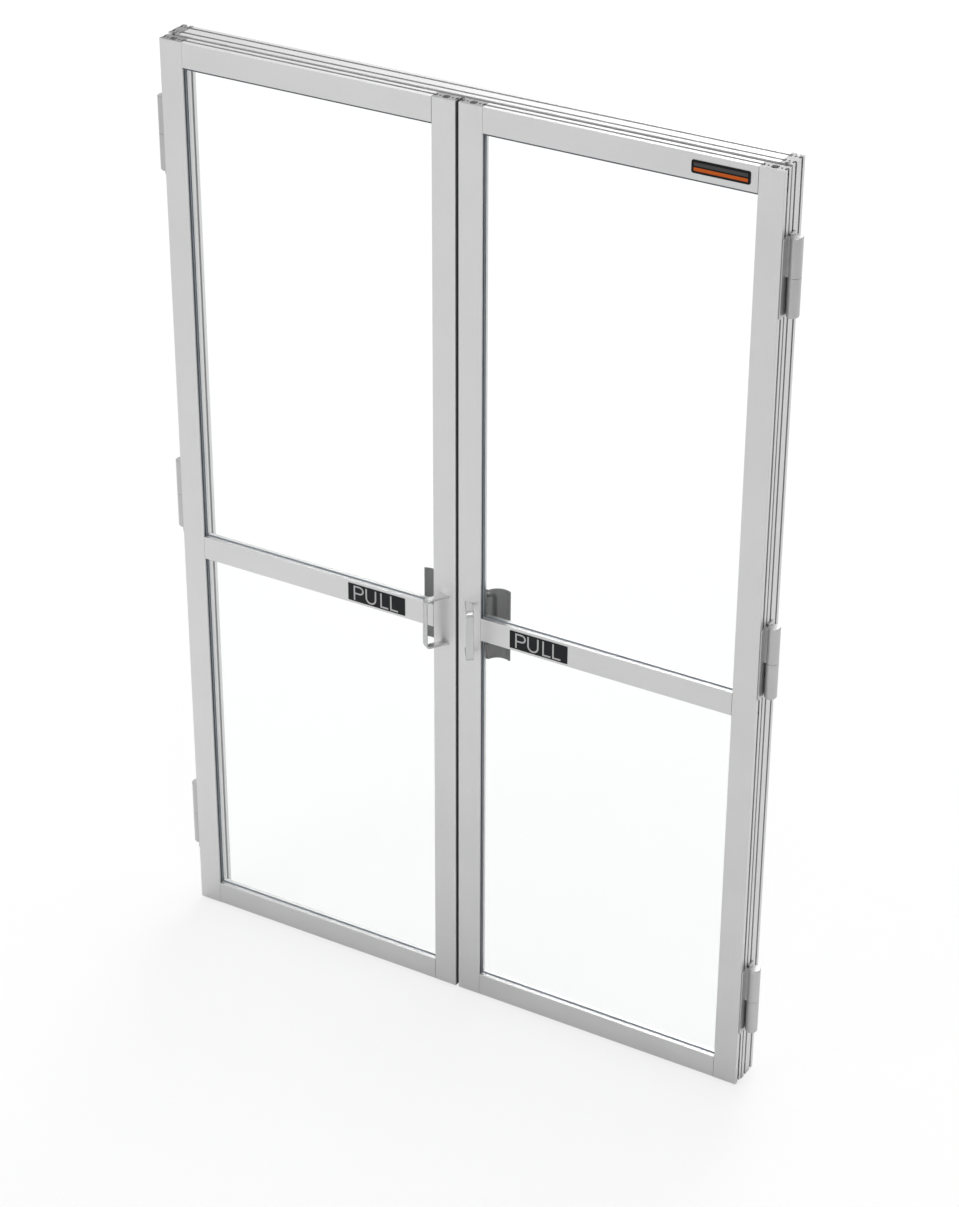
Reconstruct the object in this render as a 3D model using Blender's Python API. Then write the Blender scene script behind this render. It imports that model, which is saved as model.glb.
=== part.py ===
"""Double-leaf containment door: two glazed swing leaves hung on a slotted-profile frame.

Metres, +Z up. The origin is the middle of the left jamb's foot, on the floor. The leaves
face -Y and swing open towards it, about upright barrel hinges outside the jambs.
"""

import math

import bmesh
import bpy

# Frame: two jambs and a header of one slotted profile, standing on the floor
FRAME_WIDTH = 1.3165
FRAME_PROFILE = 0.0254
FRAME_DEPTH = 0.0508
HEAD_LAP = 0.0025

# Leaves: both alike, mirrored about the meeting gap
LEAF_HEIGHT = 1.9944
LEAF_DEPTH = 0.0254
STILE_WIDTH = 0.0508
RAIL_HEIGHT = 0.0508
MID_RAIL_CENTRE = 0.903
FLOOR_GAP = 0.0056
MEETING_GAP = 0.0066
SEAL_GAP = 0.005

# Slot in the edges of every profile, and the round bores in its core
SLOT_MOUTH = 0.0065
SLOT_LIP = 0.0021
SLOT_THROAT = 0.0132
SLOT_FLOOR = 0.006
SLOT_DEPTH = 0.0062
SLOT_PITCH = 0.0254
CORNER_RADIUS = 0.0009
BORE_RADIUS = 0.0026
LEAF_CORE_WIDTH = 0.014
LEAF_CORE_DEPTH = 0.0155
LEAF_CORE_ROUNDING = 0.0047

# Glazing: a clear panel in a channel gasket that grips the slot
PANEL_THICKNESS = 0.004
PANEL_BITE = 0.003
GASKET_BITE = 0.0042
GASKET_STAND = 0.0011
GASKET_WIDTH = 0.0074
GASKET_SLOPE = 0.0006

# Lift-off barrel hinges, three a side
HINGE_LENGTH = 0.155
HINGE_RADIUS = 0.0127
HINGE_REACH = 0.016
HINGE_INSET = 0.204
HINGE_PLATE_WIDTH = 0.0215
HINGE_PLATE_THICKNESS = 0.0027
HINGE_PLATE_EDGE = 0.001
HINGE_PLATE_CORNER = 0.003
HINGE_WEB = 0.006
HINGE_TOP_CHAMFER = 0.0015
HINGE_FOOT_RADIUS = 0.004
PIN_RADIUS = 0.004
PIN_LENGTH = 0.03
PIN_CLEARANCE = 0.0005
KNUCKLE_GAP = 0.0006

# Pull handle: a flat bar bent to a D, leaning away from the meeting gap
PULL_HEIGHT = 0.112
PULL_REACH = 0.0446
PULL_BAR_WIDTH = 0.016
PULL_BAR_THICKNESS = 0.005
PULL_BEND = 0.009
PULL_EDGE = 0.002
PULL_LEAN = math.radians(33.5)
PULL_FROM_GAP = 0.0236

# Push plate behind each meeting stile: a flange and a wing rolled to an arc
PLATE_HEIGHT = 0.158
PLATE_THICKNESS = 0.003
PLATE_FLANGE = 0.036
PLATE_FROM_GAP = 0.0175
WING_RADIUS = 0.030
WING_DEPTH = 0.0213
WING_TURN = math.radians(97.0)

# Clearance between pieces that touch, and how far a fused piece sinks into its base
JOINT_GAP = 0.0003
SINK = 0.001

# How finely round shapes are cut, and the angle above which an edge stays sharp
ROUND_SIDES = 32
BORE_SIDES = 10
BEND_STEPS = 6
WING_STEPS = 12
FOOT_STEPS = 3
CORNER_STEPS = 2
SHARP_ANGLE = math.radians(35.0)

LEFT = 1
RIGHT = -1

# Places worked out from the sizes above
LEAF_WIDTH = (FRAME_WIDTH - MEETING_GAP) / 2
FRAME_LEFT = -FRAME_PROFILE / 2
FRAME_RIGHT = FRAME_LEFT + FRAME_WIDTH
FRAME_FRONT = -FRAME_DEPTH / 2
FRAME_MIDDLE = 0.0
LEAF_BACK = FRAME_FRONT - SEAL_GAP
LEAF_FRONT = LEAF_BACK - LEAF_DEPTH
LEAF_MIDDLE = (LEAF_BACK + LEAF_FRONT) / 2
LEAF_BOTTOM = FLOOR_GAP
LEAF_TOP = LEAF_BOTTOM + LEAF_HEIGHT
FRAME_TOP = LEAF_TOP + HEAD_LAP
HINGE_Y = FRAME_FRONT - SEAL_GAP / 2
HINGE_HEIGHTS = {
    "bottom": LEAF_BOTTOM + HINGE_INSET,
    "middle": (LEAF_BOTTOM + LEAF_TOP) / 2,
    "top": LEAF_TOP - HINGE_INSET,
}
SIDES = {"left": LEFT, "right": RIGHT}


def across(side, distance):
    """World X at a distance inwards from one side's outer face."""
    if side == LEFT:
        return FRAME_LEFT + distance
    return FRAME_RIGHT - distance


def make_material(name, colour, roughness, metallic, alpha=1.0):
    """A plain Principled finish for one kind of piece."""
    material = bpy.data.materials.new(name)
    material.use_nodes = True
    shader = material.node_tree.nodes["Principled BSDF"]
    shader.inputs["Base Color"].default_value = (*colour, 1.0)
    shader.inputs["Roughness"].default_value = roughness
    shader.inputs["Metallic"].default_value = metallic
    shader.inputs["Alpha"].default_value = alpha
    return material


def finish(name, bm, material, parent=None):
    """Turn a bmesh in world coordinates into a named object, carried by its parent if it has one."""
    bmesh.ops.recalc_face_normals(bm, faces=bm.faces)
    if parent:
        bmesh.ops.translate(bm, verts=bm.verts, vec=[-value for value in parent.location])
    mesh = bpy.data.meshes.new(name)
    bm.to_mesh(mesh)
    bm.free()
    piece = bpy.data.objects.new(name, mesh)
    bpy.context.scene.collection.objects.link(piece)
    piece.data.materials.append(material)
    piece.parent = parent
    return piece


def fuse(piece, other):
    """Fuse another solid into a piece, and keep the other as a guide only."""
    join = piece.modifiers.new(other.name, "BOOLEAN")
    join.object = other
    join.operation = "UNION"
    join.solver = "EXACT"
    other.hide_render = True
    other.display_type = "WIRE"


def smooth(piece):
    """Shade round faces smooth and keep real corners sharp."""
    piece.data.shade_smooth()
    piece.data.set_sharp_from_angle(angle=SHARP_ANGLE)


def circle(radius, sides, centre=(0.0, 0.0)):
    """Points of a circle, anticlockwise."""
    turns = [2 * math.pi * step / sides for step in range(sides)]
    return [(centre[0] + radius * math.cos(turn), centre[1] + radius * math.sin(turn)) for turn in turns]


def arc(centre, radius, start, end, steps):
    """Points of an arc from one angle to another, both ends included."""
    angles = [start + (end - start) * step / steps for step in range(steps + 1)]
    return [(centre[0] + radius * math.cos(a), centre[1] + radius * math.sin(a)) for a in angles]


def rounded_rectangle(width, depth, radius, steps=CORNER_STEPS):
    """A rectangle about the origin with rounded corners, anticlockwise."""
    points = []
    for quarter, (sign_x, sign_y) in enumerate(((1, 1), (-1, 1), (-1, -1), (1, -1))):
        centre = (sign_x * (width / 2 - radius), sign_y * (depth / 2 - radius))
        start = quarter * math.pi / 2
        points += arc(centre, radius, start, start + math.pi / 2, steps)
    return points


def slot_notch(place):
    """One T-slot met while walking along an edge, as distances along and into the profile."""
    mouth = SLOT_MOUTH / 2
    throat = SLOT_THROAT / 2
    floor = SLOT_FLOOR / 2
    shoulder = SLOT_DEPTH - (throat - floor)
    near = [
        (-mouth, 0.0),
        (-mouth, SLOT_LIP),
        (-throat, SLOT_LIP),
        (-throat, shoulder),
        (-floor, SLOT_DEPTH),
    ]
    far = [(-along, into) for along, into in reversed(near)]
    return [(place + along, into) for along, into in near + far]


def slotted_outline(width, depth, slots):
    """A rounded rectangle with T-slots in the named edges; slots gives their places."""
    half_w = width / 2
    half_d = depth / 2
    edges = (
        ("front", (0.0, -half_d), (1, 0), (0, 1), half_w),
        ("right", (half_w, 0.0), (0, 1), (-1, 0), half_d),
        ("back", (0.0, half_d), (-1, 0), (0, -1), half_w),
        ("left", (-half_w, 0.0), (0, -1), (1, 0), half_d),
    )
    points = []
    for quarter, (edge, middle, along, inward, half) in enumerate(edges):
        for place in slots.get(edge, ()):
            for step, depth_in in slot_notch(place):
                points.append(
                    (
                        middle[0] + along[0] * step + inward[0] * depth_in,
                        middle[1] + along[1] * step + inward[1] * depth_in,
                    )
                )
        corner = [
            middle[axis] + along[axis] * (half - CORNER_RADIUS) + inward[axis] * CORNER_RADIUS
            for axis in (0, 1)
        ]
        start = (quarter - 1) * math.pi / 2
        points += arc(corner, CORNER_RADIUS, start, start + math.pi / 2, CORNER_STEPS)
    return points


def prism(outlines, place, length):
    """A bmesh prism: the first outline is the section, the others are bores through it.

    place turns a section point and a distance along the length into a world point.
    """
    bm = bmesh.new()
    edges = []
    for outline in outlines:
        corners = [bm.verts.new(place(x, y, 0.0)) for x, y in outline]
        for first, second in zip(corners, corners[1:] + corners[:1]):
            edges.append(bm.edges.new((first, second)))
    bmesh.ops.triangle_fill(bm, use_beauty=True, use_dissolve=False, edges=edges)
    grown = bmesh.ops.extrude_face_region(bm, geom=bm.faces[:])
    tops = [item for item in grown["geom"] if isinstance(item, bmesh.types.BMVert)]
    start = place(0.0, 0.0, 0.0)
    end = place(0.0, 0.0, length)
    bmesh.ops.translate(bm, verts=tops, vec=[b - a for a, b in zip(start, end)])
    return bm


def upright(centre_x, centre_y, bottom):
    """Placing of a profile that stands: width along X, depth along Y, length up."""
    return lambda x, y, along: (centre_x + x, centre_y + y, bottom + along)


def level(start_x, centre_y, centre_z):
    """Placing of a profile that lies along X: width up, depth along Y."""
    return lambda x, y, along: (start_x + along, centre_y + y, centre_z - x)


def on_edge(start_x, centre_y, centre_z):
    """Placing of a plate that stands in the YZ plane: width along Y, height up, thickness along X."""
    return lambda x, y, along: (start_x + along, centre_y + x, centre_z + y)


def box(low, high):
    """A bmesh box between two corners."""
    bm = bmesh.new()
    made = bmesh.ops.create_cube(bm, size=1.0)
    for vert in made["verts"]:
        vert.co = [low[i] if vert.co[i] < 0 else high[i] for i in range(3)]
    return bm


def turned(profile, centre):
    """A bmesh turned about an upright axis from (radius, height) points; radius 0 is a pole."""
    bm = bmesh.new()
    rings = []
    for radius, height in profile:
        if radius == 0:
            rings.append([bm.verts.new((centre[0], centre[1], height))])
        else:
            rings.append([bm.verts.new((x, y, height)) for x, y in circle(radius, ROUND_SIDES, centre)])
    for lower, upper in zip(rings, rings[1:]):
        for step in range(ROUND_SIDES):
            after = (step + 1) % ROUND_SIDES
            if len(lower) == 1:
                corners = (lower[0], upper[step], upper[after])
            elif len(upper) == 1:
                corners = (lower[step], lower[after], upper[0])
            else:
                corners = (lower[step], lower[after], upper[after], upper[step])
            bm.faces.new(corners)
    return bm


def ring_round(half_width, half_height, centre, section):
    """A mitred rectangular ring in the XZ plane.

    section lists (inset, y) points: how far in from the rectangle, and the world Y.
    """
    bm = bmesh.new()
    loops = []
    for sign_x, sign_z in ((1, 1), (-1, 1), (-1, -1), (1, -1)):
        loops.append(
            [
                bm.verts.new(
                    (
                        centre[0] + sign_x * (half_width - inset),
                        y,
                        centre[1] + sign_z * (half_height - inset),
                    )
                )
                for inset, y in section
            ]
        )
    count = len(section)
    for here, there in zip(loops, loops[1:] + loops[:1]):
        for step in range(count):
            after = (step + 1) % count
            bm.faces.new((here[step], here[after], there[after], there[step]))
    return bm


def frame_section():
    """Section of the jambs and the header: two squares side by side, slotted on all edges."""
    pair = (-SLOT_PITCH / 2, SLOT_PITCH / 2)
    outline = slotted_outline(
        FRAME_PROFILE, FRAME_DEPTH, {"left": pair, "right": pair, "front": (0.0,), "back": (0.0,)}
    )
    bores = [circle(BORE_RADIUS, BORE_SIDES, (0.0, place)) for place in pair]
    return [outline] + bores


def leaf_section(width, slotted):
    """Section of the stiles and rails: closed faces, slots in the narrow edges, a hollow core."""
    outline = slotted_outline(width, LEAF_DEPTH, {edge: (0.0,) for edge in slotted})
    core = rounded_rectangle(LEAF_CORE_WIDTH, LEAF_CORE_DEPTH, LEAF_CORE_ROUNDING)
    bore_place = (width / 2 + LEAF_CORE_WIDTH / 2 - SLOT_DEPTH) / 2
    bores = [circle(BORE_RADIUS, BORE_SIDES, (sign * bore_place, 0.0)) for sign in (-1, 1)]
    return [outline, core] + bores


def build_frame(aluminium):
    """Two jambs on the floor and the header between their tops."""
    section = frame_section()
    for name, side in SIDES.items():
        place = upright(across(side, FRAME_PROFILE / 2), FRAME_MIDDLE, 0.0)
        finish(f"{name}_jamb", prism(section, place, FRAME_TOP), aluminium)
    start = FRAME_LEFT + FRAME_PROFILE + JOINT_GAP
    length = FRAME_WIDTH - 2 * (FRAME_PROFILE + JOINT_GAP)
    place = level(start, FRAME_MIDDLE, FRAME_TOP - FRAME_PROFILE / 2)
    finish("header", prism(section, place, length), aluminium)


def build_leaf_frame(name, side, axis, aluminium):
    """Stiles over the full height, with three rails between them."""
    section = leaf_section(STILE_WIDTH, ("left", "right"))
    stiles = {
        "hinge_stile": STILE_WIDTH / 2,
        "meeting_stile": LEAF_WIDTH - STILE_WIDTH / 2,
    }
    for stile, centre in stiles.items():
        place = upright(across(side, centre), LEAF_MIDDLE, LEAF_BOTTOM)
        finish(f"{name}_{stile}", prism(section, place, LEAF_HEIGHT), aluminium, axis)
    section = leaf_section(RAIL_HEIGHT, ("left", "right"))
    rails = {
        "bottom_rail": LEAF_BOTTOM + RAIL_HEIGHT / 2,
        "middle_rail": MID_RAIL_CENTRE,
        "top_rail": LEAF_TOP - RAIL_HEIGHT / 2,
    }
    length = LEAF_WIDTH - 2 * (STILE_WIDTH + JOINT_GAP)
    ends = (across(side, STILE_WIDTH + JOINT_GAP), across(side, LEAF_WIDTH - STILE_WIDTH - JOINT_GAP))
    for rail, height in rails.items():
        place = level(min(ends), LEAF_MIDDLE, height)
        finish(f"{name}_{rail}", prism(section, place, length), aluminium, axis)


def gasket_section():
    """Channel gasket as (inset from the light's edge, Y): a bead outside, legs in the slot."""
    leg = SLOT_MOUTH / 2 - JOINT_GAP
    groove = PANEL_THICKNESS / 2 + JOINT_GAP
    bead = GASKET_WIDTH / 2
    floor = -PANEL_BITE - JOINT_GAP
    front = [
        (-GASKET_BITE, -leg),
        (JOINT_GAP, -leg),
        (JOINT_GAP, -bead),
        (GASKET_STAND, -bead + GASKET_SLOPE),
        (GASKET_STAND, -groove),
        (floor, -groove),
    ]
    back = [(inset, -depth) for inset, depth in reversed(front)]
    return [(inset, LEAF_MIDDLE + depth) for inset, depth in front + back]


def build_glazing(name, side, axis, clear, rubber):
    """A clear panel and its gasket in each light of the leaf."""
    middle_x = across(side, LEAF_WIDTH / 2)
    half_width = LEAF_WIDTH / 2 - STILE_WIDTH
    lights = {
        "lower": (LEAF_BOTTOM + RAIL_HEIGHT, MID_RAIL_CENTRE - RAIL_HEIGHT / 2),
        "upper": (MID_RAIL_CENTRE + RAIL_HEIGHT / 2, LEAF_TOP - RAIL_HEIGHT),
    }
    for light, (low, high) in lights.items():
        half_height = (high - low) / 2
        centre = (middle_x, (high + low) / 2)
        ring = ring_round(half_width, half_height, centre, gasket_section())
        finish(f"{name}_{light}_gasket", ring, rubber, axis)
        reach = (half_width + PANEL_BITE, PANEL_THICKNESS / 2, half_height + PANEL_BITE)
        middle = (middle_x, LEAF_MIDDLE, centre[1])
        low_corner = [m - r for m, r in zip(middle, reach)]
        high_corner = [m + r for m, r in zip(middle, reach)]
        finish(f"{name}_{light}_panel", box(low_corner, high_corner), clear, axis)


def knuckle_above(centre_z):
    """Profile of the leaf's knuckle: a capped sleeve over the pin."""
    top = centre_z + HINGE_LENGTH / 2
    seat = centre_z + KNUCKLE_GAP / 2
    bore = PIN_RADIUS + PIN_CLEARANCE
    return [
        (0, top),
        (HINGE_RADIUS - HINGE_TOP_CHAMFER, top),
        (HINGE_RADIUS, top - HINGE_TOP_CHAMFER),
        (HINGE_RADIUS, seat),
        (bore, seat),
        (bore, seat + PIN_LENGTH + PIN_CLEARANCE),
        (0, seat + PIN_LENGTH + PIN_CLEARANCE),
    ]


def knuckle_below(centre_z):
    """Profile of the frame's knuckle: the pin, and a foot rounded underneath."""
    bottom = centre_z - HINGE_LENGTH / 2
    seat = centre_z - KNUCKLE_GAP / 2
    foot_centre = (HINGE_RADIUS - HINGE_FOOT_RADIUS, bottom + HINGE_FOOT_RADIUS)
    foot = arc(foot_centre, HINGE_FOOT_RADIUS, 0.0, -math.pi / 2, FOOT_STEPS)
    pin_top = seat + PIN_LENGTH
    pin = [(0, pin_top), (PIN_RADIUS, pin_top), (PIN_RADIUS, seat), (HINGE_RADIUS, seat)]
    return pin + foot + [(0, bottom)]


def hinge_half(name, side, centre_z, on_leaf, steel, parent):
    """One half of a hinge: its knuckle, its plate on the profile's side, and the web between."""
    axis_x = across(side, -HINGE_REACH)
    if on_leaf:
        profile = knuckle_above(centre_z)
        edge = LEAF_BACK - HINGE_PLATE_EDGE
        outwards = -1
        web_low = centre_z + KNUCKLE_GAP / 2
        web_high = centre_z + HINGE_LENGTH / 2 - HINGE_TOP_CHAMFER
    else:
        profile = knuckle_below(centre_z)
        edge = FRAME_FRONT + HINGE_PLATE_EDGE
        outwards = 1
        web_low = centre_z - HINGE_LENGTH / 2 + HINGE_FOOT_RADIUS
        web_high = centre_z - KNUCKLE_GAP / 2
    piece = finish(name, turned(profile, (axis_x, HINGE_Y)), steel, parent)
    plate_faces = (across(side, -JOINT_GAP), across(side, -JOINT_GAP - HINGE_PLATE_THICKNESS))
    far_edge = edge + outwards * HINGE_PLATE_WIDTH
    outline = rounded_rectangle(HINGE_PLATE_WIDTH, HINGE_LENGTH, HINGE_PLATE_CORNER)
    place = on_edge(min(plate_faces), (edge + far_edge) / 2, centre_z)
    plate = finish(f"{name}_plate_guide", prism([outline], place, HINGE_PLATE_THICKNESS), steel, parent)
    web_edges = (edge, edge + outwards * HINGE_WEB)
    web_sides = (across(side, HINGE_RADIUS / 2 - HINGE_REACH), across(side, -JOINT_GAP - SINK))
    web = finish(
        f"{name}_web_guide",
        box((min(web_sides), min(web_edges), web_low), (max(web_sides), max(web_edges), web_high)),
        steel,
        parent,
    )
    fuse(piece, plate)
    fuse(piece, web)
    smooth(piece)


def build_hinges(name, side, axis, steel):
    """Three lift-off hinges on one side: the leaf's half sits on the frame's pin."""
    for place, height in HINGE_HEIGHTS.items():
        hinge_half(f"{name}_{place}_hinge_leaf_half", side, height, True, steel, axis)
        hinge_half(f"{name}_{place}_hinge_frame_half", side, height, False, steel, None)


def pull_path():
    """Centre line of the pull in its own plane, as (out, up) with the outward normal (out, up).

    The two ends have no distance out: they run to the face of the stile.
    """
    half = (PULL_HEIGHT - PULL_BAR_THICKNESS) / 2
    bend_out = PULL_REACH - PULL_BEND
    bend_up = half - PULL_BEND
    path = [(None, -half, 0.0, -1.0)]
    for centre_up, start in ((-bend_up, -math.pi / 2), (bend_up, 0.0)):
        for normal_out, normal_up in arc((0.0, 0.0), 1.0, start, start + math.pi / 2, BEND_STEPS):
            out = bend_out + PULL_BEND * normal_out
            up = centre_up + PULL_BEND * normal_up
            path.append((out, up, normal_out, normal_up))
    return path + [(None, half, 0.0, 1.0)]


def build_pull(name, side, axis, steel):
    """The D-shaped pull in front of the meeting stile, its ends cut to sit on the face."""
    foot_x = across(side, LEAF_WIDTH - PULL_FROM_GAP)
    lean_in = math.sin(PULL_LEAN)
    lean_out = math.cos(PULL_LEAN)
    bm = bmesh.new()
    rings = []
    for out, up, normal_out, normal_up in pull_path():
        ring = []
        for sideways, thick in rounded_rectangle(PULL_BAR_WIDTH, PULL_BAR_THICKNESS, PULL_EDGE):
            if out is None:
                reach = (JOINT_GAP - sideways * lean_in) / lean_out
            else:
                reach = out + normal_out * thick
            x = foot_x - side * (reach * lean_in - sideways * lean_out)
            y = LEAF_FRONT - reach * lean_out - sideways * lean_in
            ring.append(bm.verts.new((x, y, MID_RAIL_CENTRE + up + normal_up * thick)))
        rings.append(ring)
    for near, far in zip(rings, rings[1:]):
        for step in range(len(near)):
            after = (step + 1) % len(near)
            bm.faces.new((near[step], near[after], far[after], far[step]))
    for ring in (rings[0], rings[-1]):
        bm.faces.new(ring)
    smooth(finish(f"{name}_pull_handle", bm, steel, axis))


def build_push_plate(name, side, axis, plastic):
    """The plate behind the meeting stile: a flange on its back, and a wing rolled outwards."""
    start = LEAF_WIDTH - PLATE_FROM_GAP
    root = start - PLATE_FLANGE
    centre_depth = WING_DEPTH - WING_RADIUS
    rise = math.asin((JOINT_GAP + PLATE_THICKNESS - centre_depth) / WING_RADIUS)
    centre = root - WING_RADIUS * math.cos(rise)
    back = arc((centre, centre_depth), WING_RADIUS, rise, rise + WING_TURN, WING_STEPS)
    inner_radius = WING_RADIUS - PLATE_THICKNESS
    inner_rise = math.asin((JOINT_GAP - centre_depth) / inner_radius)
    front = arc((centre, centre_depth), inner_radius, rise + WING_TURN, inner_rise, WING_STEPS)
    outline = [(start, JOINT_GAP), (start, JOINT_GAP + PLATE_THICKNESS)] + back + front
    section = [(across(side, distance), LEAF_BACK + depth) for distance, depth in outline]
    place = upright(0.0, 0.0, MID_RAIL_CENTRE - PLATE_HEIGHT / 2)
    piece = finish(f"{name}_push_plate", prism([section], place, PLATE_HEIGHT), plastic, axis)
    smooth(piece)


def leaf_axis(name, side):
    """An empty on the leaf's hinge axis, which carries everything that swings."""
    axis = bpy.data.objects.new(f"{name}_leaf_axis", None)
    axis.location = (across(side, -HINGE_REACH), HINGE_Y, 0.0)
    bpy.context.scene.collection.objects.link(axis)
    return axis


def main():
    """Clear the scene, then build the frame and both leaves."""
    for old in list(bpy.data.objects):
        bpy.data.objects.remove(old)
    aluminium = make_material("clear anodised aluminium", (0.62, 0.62, 0.62), 0.45, 0.6)
    steel = make_material("satin hinge metal", (0.45, 0.45, 0.46), 0.4, 0.8)
    bright = make_material("brushed pull metal", (0.62, 0.62, 0.63), 0.3, 0.9)
    clear = make_material("clear sheet", (0.85, 0.9, 0.92), 0.05, 0.0, 0.15)
    rubber = make_material("slate gasket rubber", (0.12, 0.15, 0.18), 0.7, 0.0)
    plastic = make_material("black moulded plastic", (0.03, 0.03, 0.03), 0.5, 0.0)
    build_frame(aluminium)
    for name, side in SIDES.items():
        axis = leaf_axis(name, side)
        build_leaf_frame(name, side, axis, aluminium)
        build_glazing(name, side, axis, clear, rubber)
        build_hinges(name, side, axis, steel)
        build_pull(name, side, axis, bright)
        build_push_plate(name, side, axis, plastic)


main()
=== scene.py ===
"""Looks of a double-leaf containment door: finishes, seals, signs, a plain plate, connectors,
screws and a plain studio.

Metres, +Z up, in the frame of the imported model: the floor is at Z 0, the left jamb stands at the
origin and the leaves face -Y.
"""

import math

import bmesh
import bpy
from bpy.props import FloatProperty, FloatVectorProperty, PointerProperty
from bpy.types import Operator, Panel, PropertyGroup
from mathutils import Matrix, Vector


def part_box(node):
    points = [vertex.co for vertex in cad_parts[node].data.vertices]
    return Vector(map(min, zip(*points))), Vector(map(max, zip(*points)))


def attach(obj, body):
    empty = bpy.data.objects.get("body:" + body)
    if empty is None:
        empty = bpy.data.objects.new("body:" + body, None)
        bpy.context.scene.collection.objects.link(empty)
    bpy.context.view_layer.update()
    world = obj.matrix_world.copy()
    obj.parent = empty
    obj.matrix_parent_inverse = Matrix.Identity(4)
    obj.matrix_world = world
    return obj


bl_info = {
    "name": "Containment Door Looks",
    "version": (1, 0, 0),
    "blender": (4, 5, 0),
    "location": "3D View > Sidebar > Door",
    "description": "Finishes and small parts of a double-leaf containment door, with a plain studio",
    "category": "Object",
}

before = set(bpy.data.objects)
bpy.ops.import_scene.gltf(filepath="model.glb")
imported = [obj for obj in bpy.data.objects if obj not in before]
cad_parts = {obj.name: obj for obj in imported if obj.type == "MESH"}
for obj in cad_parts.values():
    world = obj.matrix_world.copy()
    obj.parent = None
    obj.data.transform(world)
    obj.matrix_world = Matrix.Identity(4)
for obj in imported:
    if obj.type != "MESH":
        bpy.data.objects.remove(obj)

SIDES = ("left", "right")
RAILS = ("bottom_rail", "middle_rail", "top_rail")

# Axes that a length of metal runs along
ALONG_X = 0
ALONG_Z = 2

# Inputs and output of a Mix node that mixes colours
MIX_FIRST = 6
MIX_SECOND = 7
MIX_RESULT = 2

# Range that most of a noise node's values lie in
NOISE_LOW = 0.3
NOISE_HIGH = 0.7

# Waves a metre of the noise in each finish
DRAWN_LINES = 900.0
DRAWN_LINES_ALONG = 5.0
DRAWN_CLOUDS = 7.0
CAST_GRAIN = 1100.0
CAST_CLOUDS = 30.0
MOULDED_CLOUDS = 25.0
FILM_PEEL = 450.0
SHEET_WAVE = (2.0, 2.0, 1.5)
RUBBER_GRAIN_SIZE = 0.001

# Letters, as shares of their height, and their left edges as shares of a sign's width
BOWL_RADIUS = 0.29
BOWL_CENTRE = 0.43
U_WIDTH = 0.77
L_WIDTH = 0.56
LETTER_STARTS = (0.098, 0.308, 0.57, 0.742)
LETTER_STAND = 0.00025
SIGN_CORNER = 0.0008

# Plain plate, with its stripes as shares of its width and height
PLATE_CORNER = 0.004
PLATE_THICKNESS = 0.0012
STRIPE_LENGTH = 0.92
STRIPE_HEIGHT = 0.26
STRIPE_LEVELS = (0.18, 0.56)
STRIPE_CORNER = 0.001
STRIPE_STAND = 0.0002

# Section of a seal lip, as shares of its width and height
LIP_SECTION = ((0.0, 0.0), (1.0, 0.0), (1.0, 0.6), (0.8, 1.0), (0.3, 1.0), (0.0, 0.5))
SEAL_END_GAP = 0.001

# Socket screw, as shares of its radius and height
SCREW_STEPS = 24
SCREW_PROFILE = ((1.0, 0.0), (1.0, 0.45), (0.93, 0.8), (0.8, 1.0))
SOCKET_FLOOR = 0.3
PLATE_SCREW_LEVELS = (0.12, 0.5, 0.88)
PLATE_SCREW_SOCKET = 0.0016

# Connectors and their screws
CONNECTOR_EASE = 0.0004
CONNECTOR_TOP_GAP = 0.0005
CONNECTOR_SCREW_RADIUS = 0.0026
CONNECTOR_SCREW_HEIGHT = 0.0012
CONNECTOR_SCREW_SOCKET = 0.0013
CONNECTOR_SCREW_SINK = 0.0004

# Lamps: place, the point they shine at, and side in metres
LAMPS = {
    "overhead": ((0.5, 3.0, 16.0), (0.5, 3.0, 0.0), 6.0),
    "rear": ((-1.0, 9.0, 9.0), (-1.0, 9.0, 0.0), 4.0),
    "front": ((-1.6, -3.9, 2.8), (0.65, 0.0, 1.2), 1.6),
    "highlight": ((2.2, -2.0, 6.0), (0.68, -0.1, 0.95), 0.9),
}

# Camera: its sensor in millimetres, and how far it sees in metres
SENSOR_HEIGHT = 36.0
CLIP_END = 200.0


def colour_property(name, description, default):
    """A linear colour that a user may change."""
    return FloatVectorProperty(
        name=name,
        description=description,
        default=default,
        size=3,
        min=0.0,
        max=1.0,
        subtype="COLOR",
    )


def length_property(name, description, default):
    """A length in metres that a user may change."""
    return FloatProperty(
        name=name,
        description=description,
        default=default,
        min=0.0,
        precision=4,
        subtype="DISTANCE",
        unit="LENGTH",
    )


def share_property(name, description, default):
    """A share from 0 to 1 that a user may change."""
    return FloatProperty(
        name=name,
        description=description,
        default=default,
        min=0.0,
        max=1.0,
        subtype="FACTOR",
    )


def power_property(name, description, default):
    """A lamp's power in watts that a user may change."""
    return FloatProperty(
        name=name,
        description=description,
        default=default,
        min=0.0,
        unit="POWER",
    )


def angle_property(name, description, degrees):
    """An angle that a user may change."""
    return FloatProperty(
        name=name,
        description=description,
        default=math.radians(degrees),
        subtype="ANGLE",
        unit="ROTATION",
    )


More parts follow.
